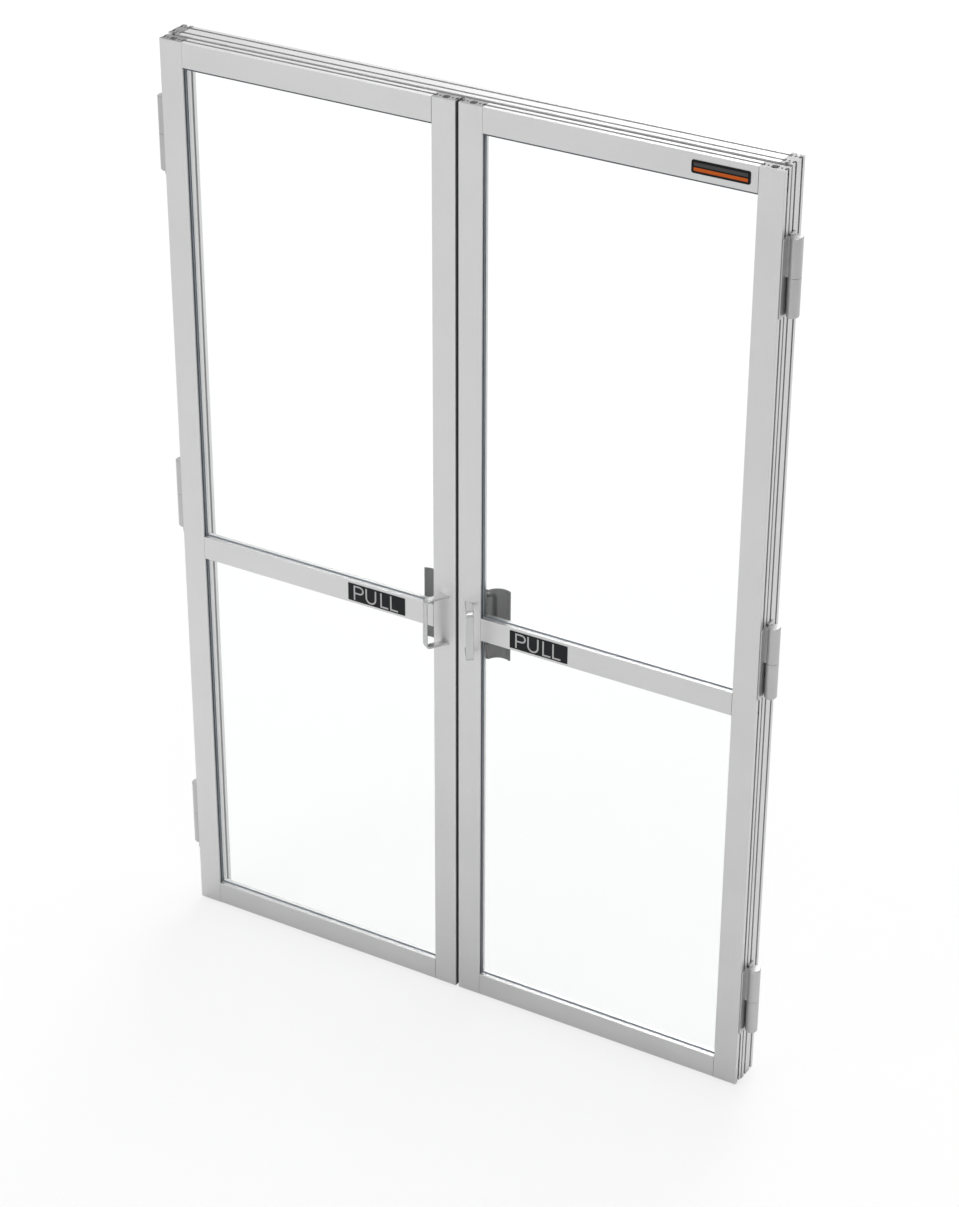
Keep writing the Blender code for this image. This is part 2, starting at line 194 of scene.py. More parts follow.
class MetalSettings(PropertyGroup):
    """Colours and gloss of the metal parts."""

    aluminium: colour_property("Aluminium", "Clear anodised profile", (0.66, 0.66, 0.66))
    aluminium_metal: share_property("Metal share", "How metallic the anodised layer looks", 0.88)
    aluminium_roughness: share_property("Roughness", "Roughness of the anodised layer", 0.45)
    # Painted shade: a sawn end keeps only this share of its colour, standing in for the shade inside
    # the profiles' open ends
    end_shade_share: share_property("End share", "Share of its colour that a sawn end keeps", 0.45)
    hinge: colour_property("Hinge", "Satin hinge metal", (0.5, 0.5, 0.5))
    hinge_metal: share_property("Hinge metal share", "How metallic the hinges look", 0.8)
    hinge_roughness: share_property("Hinge roughness", "Roughness of the hinges", 0.35)
    pull: colour_property("Pull", "Brushed metal of the pulls", (0.57, 0.57, 0.575))
    pull_metal: share_property("Pull metal share", "How metallic the pulls look", 0.8)
    pull_roughness: share_property("Pull roughness", "Roughness of the pulls", 0.2)
    fastener: colour_property("Fastener", "Black oxide steel", (0.03, 0.03, 0.032))


class GlazingSettings(PropertyGroup):
    """Clear panels and the gaskets that hold them."""

    panel: colour_property("Panel", "Tint of the clear sheet", (0.99, 1.0, 1.0))
    panel_ior: FloatProperty(
        name="Refraction",
        description="Index of refraction of the clear sheet",
        default=1.58,
        min=1.0,
        max=2.5,
    )
    panel_shade: colour_property("Panel shade", "Light of the lamps let through", (0.15, 0.15, 0.15))
    gasket: colour_property("Gasket", "Slate blue gasket rubber", (0.32, 0.355, 0.395))
    seal: colour_property("Seal", "Dark rubber of the seal lips", (0.07, 0.08, 0.095))
    lip_from_front: length_property("Lip from front", "Leaf's front to a side seal lip", 0.0038)
    lip_width: length_property("Lip width", "Width of a side seal lip", 0.0039)
    lip_stand: length_property("Lip height", "How far a side seal lip stands out", 0.0006)
    top_lip_from_front: length_property("Top lip from front", "Leaf's front to the top lip", 0.0008)
    top_lip_stand: length_property("Top lip height", "How far the top lip hangs down", 0.0032)
    # Meeting strip: painted shade, a dark sheet that stands in for the shade in the gap between the
    # leaves
    meeting_shade_strip: colour_property("Meeting seal", "Rubber of the meeting edges", (0.07, 0.07, 0.072))
    meeting_from_front: length_property("Meeting seal from front", "Leaf's front to the seal", 0.0034)
    meeting_width: length_property("Meeting seal width", "Width of the meeting seal", 0.018)
    meeting_stand: length_property("Meeting seal height", "How far the seal stands out", 0.0006)


class PlasticSettings(PropertyGroup):
    """Black moulded plastic of the push plates."""

    push_plate: colour_property("Push plate", "Black moulded plastic", (0.035, 0.035, 0.036))
    push_plate_roughness: share_property("Roughness", "Roughness of the push plates", 0.45)
    screw_radius: length_property("Screw radius", "Radius of a push plate screw's head", 0.0045)
    screw_height: length_property("Screw height", "Height of a push plate screw's head", 0.0022)
    screw_from_gap: length_property("Screw from the gap", "Leaf's meeting edge to the screws", 0.0355)
    flange_thickness: length_property("Flange", "Thickness of the plate under the screws", 0.0033)


class ConnectorSettings(PropertyGroup):
    """Black connectors in the profiles' outer slots."""

    width: length_property("Width", "Width of a connector", 0.0058)
    depth: length_property("Depth", "How far a connector goes into its slot", 0.0056)
    sink: length_property("Sink", "Profile's face to a connector", 0.0003)
    leaf_length: length_property("Length on a stile", "Length of a stile's connector", 0.043)
    screw_pitch: length_property("Screw pitch", "Between the screws of a stile's connector", 0.0262)
    frame_length: length_property("Length on a jamb", "Length of a jamb's connector", 0.02)


class SignSettings(PropertyGroup):
    """Signs on the middle rails and the plain plate on the right top rail."""

    sign_width: length_property("Left sign width", "Width of the left sign", 0.134)
    right_sign_width: length_property("Right sign width", "Width of the right sign", 0.1295)
    sign_height: length_property("Sign height", "Height of a sign", 0.0395)
    sign_from_gap: length_property("From the gap", "Leaf's meeting edge to the sign", 0.1177)
    sign_thickness: length_property("Thickness", "Thickness of a sign", 0.0008)
    letter_height: length_property("Letter height", "Height of the letters", 0.033)
    letter_stroke: length_property("Stroke", "Width of the letters' strokes", 0.0034)
    sign: colour_property("Sign", "Black sign film", (0.012, 0.0125, 0.0145))
    letter: colour_property("Letters", "Pale letters", (0.42, 0.42, 0.42))
    plate_width: length_property("Plate width", "Width of the plain plate", 0.115)
    plate_height: length_property("Plate height", "Height of the plain plate", 0.025)
    plate_from_stile: length_property("From the stile", "Hinge stile to the plain plate", 0.0145)
    plate: colour_property("Plate", "Black plate", (0.008, 0.008, 0.009))
    warm_stripe: colour_property("Warm stripe", "Orange stripe of the plate", (0.5, 0.085, 0.003))
    grey_stripe: colour_property("Grey stripe", "Dark grey stripe of the plate", (0.05, 0.05, 0.05))


class StageSettings(PropertyGroup):
    """Floor, lamps and camera."""

    floor: colour_property("Floor", "Plain pale floor", (0.8, 0.8, 0.8))
    floor_glow: share_property("Floor glow", "Share of the floor's white that takes no shade", 0.75)
    floor_size: length_property("Floor size", "Side of the floor", 60.0)
    ambient: FloatProperty(
        name="Ambient",
        description="Strength of the light from all round",
        default=0.66,
        min=0.0,
    )
    overhead_power: power_property("Overhead lamp", "Power of the lamp above", 800.0)
    rear_power: power_property("Rear lamp", "Power of the lamp behind the door", 670.0)
    front_power: power_property("Front lamp", "Power of the soft lamp in front", 36.0)
    highlight_power: power_property("Highlight lamp", "Power of the lamp that the pulls mirror", 22.0)
    camera_place: FloatVectorProperty(
        name="Camera place",
        description="Where the camera stands",
        default=(3.3861, -4.7117, 4.072),
        size=3,
        subtype="TRANSLATION",
        unit="LENGTH",
    )
    camera_heading: angle_property("Heading", "Turn of the camera to the left of +Y", 30.0086)
    camera_tilt: angle_property("Tilt", "How far the camera looks down", 30.0426)
    camera_roll: angle_property("Roll", "Turn of the camera about its line of sight", 0.2024)
    camera_lens: FloatProperty(
        name="Lens",
        description="Focal length for a picture 36 mm high, in millimetres",
        default=93.88,
        min=1.0,
    )


class DoorSettings(PropertyGroup):
    """All settings of the door's looks."""

    metal: PointerProperty(type=MetalSettings)
    glazing: PointerProperty(type=GlazingSettings)
    plastic: PointerProperty(type=PlasticSettings)
    connectors: PointerProperty(type=ConnectorSettings)
    signs: PointerProperty(type=SignSettings)
    stage: PointerProperty(type=StageSettings)


class Finish:
    """A Principled material and short ways to add nodes to it."""

    def __init__(self, name, colour, roughness, metallic=0.0):
        self.material = bpy.data.materials.new(name)
        self.material.use_nodes = True
        self.tree = self.material.node_tree
        self.shader = self.tree.nodes["Principled BSDF"]
        self.set("Base Color", (*colour, 1.0))
        self.set("Roughness", roughness)
        self.set("Metallic", metallic)

    def set(self, socket, value):
        self.shader.inputs[socket].default_value = value

    def node(self, kind, **values):
        """Add a node; values are its settings, or its inputs where the name is an input's."""
        made = self.tree.nodes.new(kind)
        for name, value in values.items():
            if hasattr(made, name):
                setattr(made, name, value)
            else:
                made.inputs[name].default_value = value
        return made

    def link(self, source, target):
        self.tree.links.new(source, target)

    def grain(self, scale, detail=3.0):
        """Noise in the piece's own place, with a scale along each axis."""
        place = self.node("ShaderNodeTexCoord")
        mapping = self.node("ShaderNodeMapping", Scale=scale)
        noise = self.node("ShaderNodeTexNoise", Scale=1.0, Detail=detail)
        self.link(place.outputs["Object"], mapping.inputs["Vector"])
        self.link(mapping.outputs["Vector"], noise.inputs["Vector"])
        return noise.outputs["Fac"]

    def spread(self, source, low, high):
        """Map noise to a range of values."""
        span = self.node("ShaderNodeMapRange")
        span.inputs["From Min"].default_value = NOISE_LOW
        span.inputs["From Max"].default_value = NOISE_HIGH
        span.inputs["To Min"].default_value = low
        span.inputs["To Max"].default_value = high
        self.link(source, span.inputs["Value"])
        return span.outputs["Result"]

    def vary_roughness(self, source, roughness, less, more):
        """Let roughness go down and up by noise."""
        varied = self.spread(source, roughness - less, roughness + more)
        self.link(varied, self.shader.inputs["Roughness"])

    def vary_colour(self, source, colour, share):
        """Make a colour darker and lighter by noise, by up to a share."""
        mix = self.node("ShaderNodeMix", data_type="RGBA")
        mix.inputs[MIX_FIRST].default_value = (*shade(colour, 1 - share), 1.0)
        mix.inputs[MIX_SECOND].default_value = (*shade(colour, 1 + share), 1.0)
        self.link(self.spread(source, 0.0, 1.0), mix.inputs["Factor"])
        self.link(mix.outputs[MIX_RESULT], self.shader.inputs["Base Color"])

    def paint_end_shade(self, along, share):
        """Paint shade on the sawn ends of a length that runs along one axis, standing in for the
        shade inside the profile's open ends.
        """
        place = self.node("ShaderNodeTexCoord")
        parts = self.node("ShaderNodeSeparateXYZ")
        facing = self.node("ShaderNodeMath", operation="ABSOLUTE")
        ends = self.node("ShaderNodeMath", operation="GREATER_THAN")
        least_facing = 0.9
        ends.inputs[1].default_value = least_facing
        darker = self.node("ShaderNodeMix", data_type="RGBA", blend_type="MULTIPLY")
        darker.inputs[MIX_SECOND].default_value = (share, share, share, 1.0)
        self.link(place.outputs["Normal"], parts.inputs[0])
        self.link(parts.outputs[along], facing.inputs[0])
        self.link(facing.outputs[0], ends.inputs[0])
        self.link(ends.outputs[0], darker.inputs["Factor"])
        colour = self.shader.inputs["Base Color"]
        self.link(colour.links[0].from_socket, darker.inputs[MIX_FIRST])
        self.link(darker.outputs[MIX_RESULT], colour)

    def relief(self, source, height):
        """Raise the surface by noise, in metres."""
        bump = self.node("ShaderNodeBump", Distance=height)
        self.link(source, bump.inputs["Height"])
        self.link(bump.outputs["Normal"], self.shader.inputs["Normal"])


def shade(colour, share):
    """A colour made darker or lighter by a share."""
    return tuple(min(1.0, value * share) for value in colour)


def drawn_metal(name, colour, roughness, metallic, along, end_shade_share=1.0):
    """Metal with fine lines along one axis, as extruding or brushing leaves them.

    Faces across that axis, the sawn ends, keep only a share of the colour: painted shade that stands
    in for the shade inside the profiles' open ends.
    """
    finish = Finish(name, colour, roughness, metallic)
    scale = [DRAWN_LINES] * 3
    scale[along] = DRAWN_LINES_ALONG
    lines = finish.grain(scale)
    cloud = finish.grain([DRAWN_CLOUDS] * 3, detail=2.0)
    finish.vary_colour(cloud, colour, share=0.015)
    # Painted shade on the sawn ends
    if end_shade_share < 1.0:
        finish.paint_end_shade(along, end_shade_share)
    finish.vary_roughness(lines, roughness, less=0.05, more=0.05)
    finish.relief(lines, height=0.000012)
    return finish.material


def cast_metal(name, colour, roughness, metallic):
    """Metal with a fine even grain, as tumbling leaves it."""
    finish = Finish(name, colour, roughness, metallic)
    fine = finish.grain([CAST_GRAIN] * 3)
    cloud = finish.grain([CAST_CLOUDS] * 3, detail=2.0)
    finish.vary_colour(cloud, colour, share=0.03)
    finish.vary_roughness(fine, roughness, less=0.04, more=0.06)
    finish.relief(fine, height=0.00002)
    return finish.material


def moulded(name, colour, roughness, grain_size, depth):
    """Plastic or rubber with a moulded grain, its size and depth in metres."""
    finish = Finish(name, colour, roughness)
    grain = finish.grain([1.0 / grain_size] * 3, detail=4.0)
    cloud = finish.grain([MOULDED_CLOUDS] * 3, detail=2.0)
    finish.vary_colour(cloud, colour, share=0.08)
    finish.vary_roughness(grain, roughness, less=0.06, more=0.08)
    finish.relief(grain, height=depth)
    return finish.material


def rubber(name, colour, roughness, depth):
    """Rubber of the gaskets and seals."""
    return moulded(name, colour, roughness, RUBBER_GRAIN_SIZE, depth)


def film(name, colour, roughness, gloss):
    """Printed film: even, with a faint orange peel."""
    finish = Finish(name, colour, roughness)
    finish.set("Specular IOR Level", gloss)
    peel = finish.grain([FILM_PEEL] * 3, detail=2.0)
    finish.vary_colour(peel, colour, share=0.04)
    finish.vary_roughness(peel, roughness, less=0.03, more=0.05)
    finish.relief(peel, height=0.00001)
    return finish.material


def clear_sheet(settings):
    """Clear sheet that bends and mirrors light, and lets part of the lamps' light through."""
    finish = Finish("clear sheet", settings.panel, 0.0)
    finish.set("IOR", settings.panel_ior)
    finish.set("Transmission Weight", 1.0)
    wave = finish.grain(SHEET_WAVE, detail=1.0)
    finish.relief(wave, height=0.00005)
    through = finish.node("ShaderNodeBsdfTransparent", Color=(*settings.panel_shade, 1.0))
    path = finish.node("ShaderNodeLightPath")
    mix = finish.node("ShaderNodeMixShader")
    output = finish.tree.nodes["Material Output"]
    finish.link(path.outputs["Is Shadow Ray"], mix.inputs[0])
    finish.link(finish.shader.outputs["BSDF"], mix.inputs[1])
    finish.link(through.outputs["BSDF"], mix.inputs[2])
    finish.link(mix.outputs["Shader"], output.inputs["Surface"])
    return finish.material


def dress(node_names, material):
    """Give CAD nodes a material in every slot."""
    for name in node_names:
        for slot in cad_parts[name].material_slots:
            slot.material = material


def nodes_of(*endings):
    """Names of the CAD nodes that end in one of these words."""
    return [name for name in sorted(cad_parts) if name.endswith(endings)]


def make_rounding(angle):
    """A node group that welds a mesh and shades it smooth up to an angle between faces."""
    group = bpy.data.node_groups.new("round_shading", "GeometryNodeTree")
    group.interface.new_socket("Geometry", in_out="INPUT", socket_type="NodeSocketGeometry")
    group.interface.new_socket("Geometry", in_out="OUTPUT", socket_type="NodeSocketGeometry")
    start = group.nodes.new("NodeGroupInput")
    end = group.nodes.new("NodeGroupOutput")
    weld = group.nodes.new("GeometryNodeMergeByDistance")
    weld_distance = 0.000001
    weld.inputs["Distance"].default_value = weld_distance
    smooth = group.nodes.new("GeometryNodeSetShadeSmooth")
    sharpen = group.nodes.new("GeometryNodeSetShadeSmooth")
    sharpen.domain = "EDGE"
    sharpen.inputs["Shade Smooth"].default_value = False
    corner = group.nodes.new("GeometryNodeInputMeshEdgeAngle")
    above = group.nodes.new("FunctionNodeCompare")
    above.operation = "GREATER_THAN"
    above.inputs[1].default_value = angle
    links = group.links
    links.new(start.outputs[0], weld.inputs["Geometry"])
    links.new(weld.outputs["Geometry"], smooth.inputs["Geometry"])
    links.new(smooth.outputs["Geometry"], sharpen.inputs["Geometry"])
    links.new(corner.outputs["Unsigned Angle"], above.inputs[0])
    links.new(above.outputs["Result"], sharpen.inputs["Selection"])
    links.new(sharpen.outputs["Geometry"], end.inputs[0])
    return group


def round_shading(node_names, degrees):
    """Shade the round stretches of CAD nodes smooth, and keep their flats flat."""
    group = make_rounding(math.radians(degrees))
    for name in node_names:
        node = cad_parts[name]
        node.modifiers.new("round_shading", "NODES").node_group = group
        weigh = node.modifiers.new("weigh_normals", "WEIGHTED_NORMAL")
        weigh.keep_sharp = True


def add_piece(name, bm, materials, body):
    """Turn a bmesh in the frame's metres into a piece that rides on a body."""
    bmesh.ops.recalc_face_normals(bm, faces=bm.faces)
    mesh = bpy.data.meshes.new(name)
    bm.to_mesh(mesh)
    bm.free()
    for material in materials:
        mesh.materials.append(material)
    piece = bpy.data.objects.new(name, mesh)
    bpy.context.scene.collection.objects.link(piece)
    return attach(piece, body)


def thicken(bm, faces, reach, slot=0):
    """Extrude flat faces by a vector into a closed solid."""
    grown = bmesh.ops.extrude_face_region(bm, geom=faces)
    tops = [item for item in grown["geom"] if isinstance(item, bmesh.types.BMVert)]
    bmesh.ops.translate(bm, verts=tops, vec=reach)
    made = set(faces)
    for vert in tops:
        made.update(vert.link_faces)
    for face in made:
        face.material_index = slot


def arc(centre, radius, start, end, steps):
    """Points of an arc, both ends included, with angles in radians."""
    turns = [start + (end - start) * step / steps for step in range(steps + 1)]
    return [(centre[0] + radius * math.cos(t), centre[1] + radius * math.sin(t)) for t in turns]


def rounded_plate(width, height, radius):
    """Outline of a plate with its corner at the origin, anticlockwise."""
    points = []
    corners = ((width, height), (0.0, height), (0.0, 0.0), (width, 0.0))
    inwards = ((-1, -1), (1, -1), (1, 1), (-1, 1))
    for quarter, (corner, sign) in enumerate(zip(corners, inwards)):
        centre = (corner[0] + sign[0] * radius, corner[1] + sign[1] * radius)
        start = quarter * math.pi / 2
        points += arc(centre, radius, start, start + math.pi / 2, steps=4)
    return points


def add_outline(bm, points, corner, reach, slot=0):
    """A flat outline in the XZ plane, moved to a corner and made solid towards -Y."""
    verts = [bm.verts.new((corner[0] + x, corner[1], corner[2] + z)) for x, z in points]
    thicken(bm, [bm.faces.new(verts)], (0.0, -reach, 0.0), slot)


def add_stroke(bm, path, width, corner, reach, slot):
    """A stroke of a letter along a path in the XZ plane, with mitred corners."""
    points = [Vector(point) for point in path]
    sides = ([], [])
    for index, point in enumerate(points):
        before = (point - points[index - 1]).normalized() if index else None
        after = (points[index + 1] - point).normalized() if index + 1 < len(points) else None
        before = before or after
        after = after or before
        normal = Vector((-(before + after).y, (before + after).x)).normalized()
        offset = normal * (width / 2 / normal.dot(Vector((-after.y, after.x))))
        for side, sign in zip(sides, (1, -1)):
            place = point + sign * offset
            side.append(bm.verts.new((corner[0] + place.x, corner[1], corner[2] + place.y)))
    faces = [
        bm.faces.new((sides[0][step], sides[0][step + 1], sides[1][step + 1], sides[1][step]))
        for step in range(len(points) - 1)
    ]
    thicken(bm, faces, (0.0, -reach, 0.0), slot)


def letter_paths(height, stroke):
    """Centre lines of the four letters, each standing on the origin."""
    half = stroke / 2
    bowl = height * BOWL_RADIUS
    bowl_centre = (height * BOWL_CENTRE, height - bowl)
    p_path = [(half, 0.0), (half, height - half), (bowl_centre[0], height - half)]
    p_path += arc(bowl_centre, bowl - half, math.pi / 2, -math.pi / 2, steps=12)[1:]
    p_path.append((stroke, height - 2 * bowl + half))
    u_width = height * U_WIDTH
    u_radius = u_width / 2 - half
    u_path = [(half, height)]
    u_centre = (u_width / 2, u_radius + half)
    u_path += arc(u_centre, u_radius, math.pi, 2 * math.pi, steps=14)
    u_path.append((u_width - half, height))
    l_path = [(half, height), (half, half), (height * L_WIDTH, half)]
    return p_path, u_path, l_path, l_path


def add_sign(side, settings, materials):
    """A black sign with four pale letters on a leaf's middle rail."""
    meeting_low, meeting_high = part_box(f"{side}_meeting_stile")
    rail_low, rail_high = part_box(f"{side}_middle_rail")
    if side == "left":
        width = settings.sign_width
        left = meeting_high.x - settings.sign_from_gap - width
    else:
        width = settings.right_sign_width
        left = meeting_low.x + settings.sign_from_gap
    bottom = (rail_low.z + rail_high.z - settings.sign_height) / 2
    bm = bmesh.new()
    corner = Vector((left, rail_low.y, bottom))
    outline = rounded_plate(width, settings.sign_height, SIGN_CORNER)
    add_outline(bm, outline, corner, settings.sign_thickness)
    lift = (settings.sign_height - settings.letter_height) / 2
    paths = letter_paths(settings.letter_height, settings.letter_stroke)
    for start, path in zip(LETTER_STARTS, paths):
        foot = corner + Vector((start * width, -settings.sign_thickness, lift))
        add_stroke(bm, path, settings.letter_stroke, foot, LETTER_STAND, 1)
    add_piece(f"{side}_pull_sign", bm, materials, f"{side}_leaf")


def add_plain_plate(settings, materials):
    """A plain black plate with an orange and a grey stripe on the right leaf's top rail."""
    rail_low, rail_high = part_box("right_top_rail")
    stile_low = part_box("right_hinge_stile")[0]
    width = settings.plate_width
    height = settings.plate_height
    left = stile_low.x - settings.plate_from_stile - width
    bottom = (rail_low.z + rail_high.z - height) / 2
    corner = Vector((left, rail_low.y, bottom))
    bm = bmesh.new()
    add_outline(bm, rounded_plate(width, height, PLATE_CORNER), corner, PLATE_THICKNESS)
    stripe = rounded_plate(STRIPE_LENGTH * width, STRIPE_HEIGHT * height, STRIPE_CORNER)
    margin = (1 - STRIPE_LENGTH) / 2 * width
    for slot, level in enumerate(STRIPE_LEVELS, start=1):
        foot = corner + Vector((margin, -PLATE_THICKNESS, level * height))
        add_outline(bm, stripe, foot, STRIPE_STAND, slot)
    add_piece("plain_plate", bm, materials, "right_leaf")


def add_lip(bm, start, along, inwards, outwards, width, stand):
    """A rubber lip on a face: its section goes inwards and stands outwards, and runs along."""
    verts = []
    for deep, high in LIP_SECTION:
        verts.append(bm.verts.new(start + inwards * (width * deep) + outwards * (stand * high)))
    thicken(bm, [bm.faces.new(verts)], along)


def add_seal_lips(side, settings, material):
    """Dark seal lips in front of a leaf's panels: down the stiles, and under the top rail."""
    inwards = Vector((0.0, 1.0, 0.0))
    width = settings.lip_width
    bottom, middle, top = (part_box(f"{side}_{rail}") for rail in RAILS)
    front = bottom[0].y
    bm = bmesh.new()
    for below, above in ((bottom, middle), (middle, top)):
        along = Vector((0.0, 0.0, above[0].z - below[1].z))
        for x, sign in ((below[0].x, 1.0), (below[1].x, -1.0)):
            start = Vector((x, front + settings.lip_from_front, below[1].z))
            outwards = Vector((sign, 0.0, 0.0))
            add_lip(bm, start, along, inwards, outwards, width, settings.lip_stand)
    start = Vector((top[0].x, front + settings.top_lip_from_front, top[0].z))
    along = Vector((top[1].x - top[0].x, 0.0, 0.0))
    down = Vector((0.0, 0.0, -1.0))
    add_lip(bm, start, along, inwards, down, width, settings.top_lip_stand)
    add_piece(f"{side}_seal_lips", bm, [material], f"{side}_leaf")


def add_meeting_shade_strip(side, settings, material):
    """A dark strip down a leaf's meeting edge: painted shade, a dark sheet that stands in for the
    shade in the gap between the leaves.
    """
    low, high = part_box(f"{side}_meeting_stile")
    x, sign = (high.x, 1.0) if side == "left" else (low.x, -1.0)
    start = Vector((x, low.y + settings.meeting_from_front, low.z + SEAL_END_GAP))
    along = Vector((0.0, 0.0, high.z - low.z - 2 * SEAL_END_GAP))
    inwards = Vector((0.0, 1.0, 0.0))
    outwards = Vector((sign, 0.0, 0.0))
    bm = bmesh.new()
    add_lip(bm, start, along, inwards, outwards, settings.meeting_width, settings.meeting_stand)
    add_piece(f"{side}_meeting_seal", bm, [material], f"{side}_leaf")


def hexagon(centre_to_flat, steps):
    """Points round a hexagon, as many as the circle that it's bridged to."""
    points = []
    for step in range(steps):
        turn = 2 * math.pi * step / steps
        within = (turn + math.pi / 6) % (math.pi / 3) - math.pi / 6
        reach = centre_to_flat / math.cos(within)
        points.append((reach * math.cos(turn), reach * math.sin(turn)))
    return points


def add_screw(bm, place, outwards, radius, height, socket):
    """A socket screw's head that stands on a point, with its axis along outwards."""
    turns = [2 * math.pi * step / SCREW_STEPS for step in range(SCREW_STEPS)]
    turn_to = outwards.to_track_quat("Z", "Y").to_matrix()
    rings = []
    for share, level in SCREW_PROFILE:
        reach = radius * share
        rings.append([(reach * math.cos(t), reach * math.sin(t), height * level) for t in turns])
    for level in (1.0, SOCKET_FLOOR):
        rings.append([(x, y, height * level) for x, y in hexagon(socket, SCREW_STEPS)])
    made = [[bm.verts.new(place + turn_to @ Vector(point)) for point in ring] for ring in rings]
    for lower, upper in zip(made, made[1:]):
        for step in range(SCREW_STEPS):
            after = (step + 1) % SCREW_STEPS
            bm.faces.new((lower[step], lower[after], upper[after], upper[step]))
    bm.faces.new(made[-1])
    bm.faces.new(made[0][::-1])


def add_block(bm, centre, size):
    """A box about a point with its edges eased."""
    made = bmesh.ops.create_cube(bm, size=1.0)
    for vert in made["verts"]:
        vert.co = [c + s * v for c, s, v in zip(centre, size, vert.co)]
    edges = {edge for vert in made["verts"] for edge in vert.link_edges}
    bmesh.ops.bevel(
        bm,
        geom=list(edges),
        offset=CONNECTOR_EASE,
        segments=2,
        affect="EDGES",
        profile=0.5,
    )


def add_connector(bm, settings, face_x, outwards, y, top, length, screw_places):
    """A black connector sunk in a profile's slot just under a level, with its screws' heads."""
    z = top - CONNECTOR_TOP_GAP - length / 2
    middle = face_x - outwards * (settings.sink + settings.depth / 2)
    add_block(bm, (middle, y, z), (settings.depth, settings.width, length))
    foot_x = face_x - outwards * (settings.sink + CONNECTOR_SCREW_SINK)
    for offset in screw_places:
        add_screw(
            bm,
            Vector((foot_x, y, z + offset)),
            Vector((outwards, 0.0, 0.0)),
            CONNECTOR_SCREW_RADIUS,
            CONNECTOR_SCREW_HEIGHT,
            CONNECTOR_SCREW_SOCKET,
        )


def add_leaf_connectors(side, settings, material):
    """Connectors in the outer slot of the hinge stile, at each rail."""
    low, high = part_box(f"{side}_hinge_stile")
    outwards = -1 if side == "left" else 1
    face_x = low.x if side == "left" else high.x
    y = (low.y + high.y) / 2
    screws = (-settings.screw_pitch / 2, settings.screw_pitch / 2)
    bm = bmesh.new()
    for rail in RAILS:
        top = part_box(f"{side}_{rail}")[1].z
        add_connector(bm, settings, face_x, outwards, y, top, settings.leaf_length, screws)
    add_piece(f"{side}_leaf_connectors", bm, [material], f"{side}_leaf")


def add_frame_connectors(settings, material):
    """Connectors in the jambs' outer slots, where they carry the header."""
    header_low, header_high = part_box("header")
    middle = (header_low.y + header_high.y) / 2
    pitch = (header_high.y - header_low.y) / 4
    top = header_high.z
    bm = bmesh.new()
    for side, outwards in (("left", -1), ("right", 1)):
        low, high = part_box(f"{side}_jamb")
        face_x = low.x if outwards < 0 else high.x
        for y in (middle - pitch, middle + pitch):
            add_connector(bm, settings, face_x, outwards, y, top, settings.frame_length, (0.0,))
    add_piece("frame_connectors", bm, [material], "frame")


def add_plate_screws(side, settings, material):
    """Three screws that hold a push plate's flange to its stile."""
    low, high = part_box(f"{side}_push_plate")
    stile_low, stile_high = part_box(f"{side}_meeting_stile")
    if side == "left":
        x = stile_high.x - settings.screw_from_gap
    else:
        x = stile_low.x + settings.screw_from_gap
    face_y = stile_high.y + settings.flange_thickness
    outwards = Vector((0.0, 1.0, 0.0))
    size = (settings.screw_radius, settings.screw_height, PLATE_SCREW_SOCKET)
    bm = bmesh.new()
    for level in PLATE_SCREW_LEVELS:
        place = Vector((x, face_y, low.z + level * (high.z - low.z)))
        add_screw(bm, place, outwards, *size)
    add_piece(f"{side}_push_plate_screws", bm, [material], f"{side}_leaf")


def add_area_lamp(name, place, aim, size, power):
    """A soft square lamp that shines at a point."""
    data = bpy.data.lights.new(name, "AREA")
    data.shape = "SQUARE"
    data.size = size
    data.energy = power
    lamp = bpy.data.objects.new(name, data)
    lamp.location = place
    lamp.rotation_euler = (Vector(aim) - Vector(place)).to_track_quat("-Z", "Y").to_euler()
    bpy.context.scene.collection.objects.link(lamp)


def seen_directly(tree):
    """A socket that is 1 for what the camera sees, also through a panel, and 0 for other rays."""
    path = tree.nodes.new("ShaderNodeLightPath")
    either = tree.nodes.new("ShaderNodeMath")
    either.operation = "MAXIMUM"
    tree.links.new(path.outputs["Is Camera Ray"], either.inputs[0])
    tree.links.new(path.outputs["Is Transmission Ray"], either.inputs[1])
    return either.outputs[0]


def build_world(settings):
    """White all round for what is seen, and a plain level of light for what is lit."""
    world = bpy.data.worlds.new("plain world")
    world.use_nodes = True
    bpy.context.scene.world = world
    tree = world.node_tree
    light = tree.nodes["Background"]
    light.inputs["Color"].default_value = (1.0, 1.0, 1.0, 1.0)
    light.inputs["Strength"].default_value = settings.ambient
    seen = tree.nodes.new("ShaderNodeBackground")
    seen.inputs["Color"].default_value = (1.0, 1.0, 1.0, 1.0)
    seen.inputs["Strength"].default_value = 1.0
    mix = tree.nodes.new("ShaderNodeMixShader")
    tree.links.new(seen_directly(tree), mix.inputs[0])
    tree.links.new(light.outputs[0], mix.inputs[1])
    tree.links.new(seen.outputs[0], mix.inputs[2])
    tree.links.new(mix.outputs[0], tree.nodes["World Output"].inputs["Surface"])


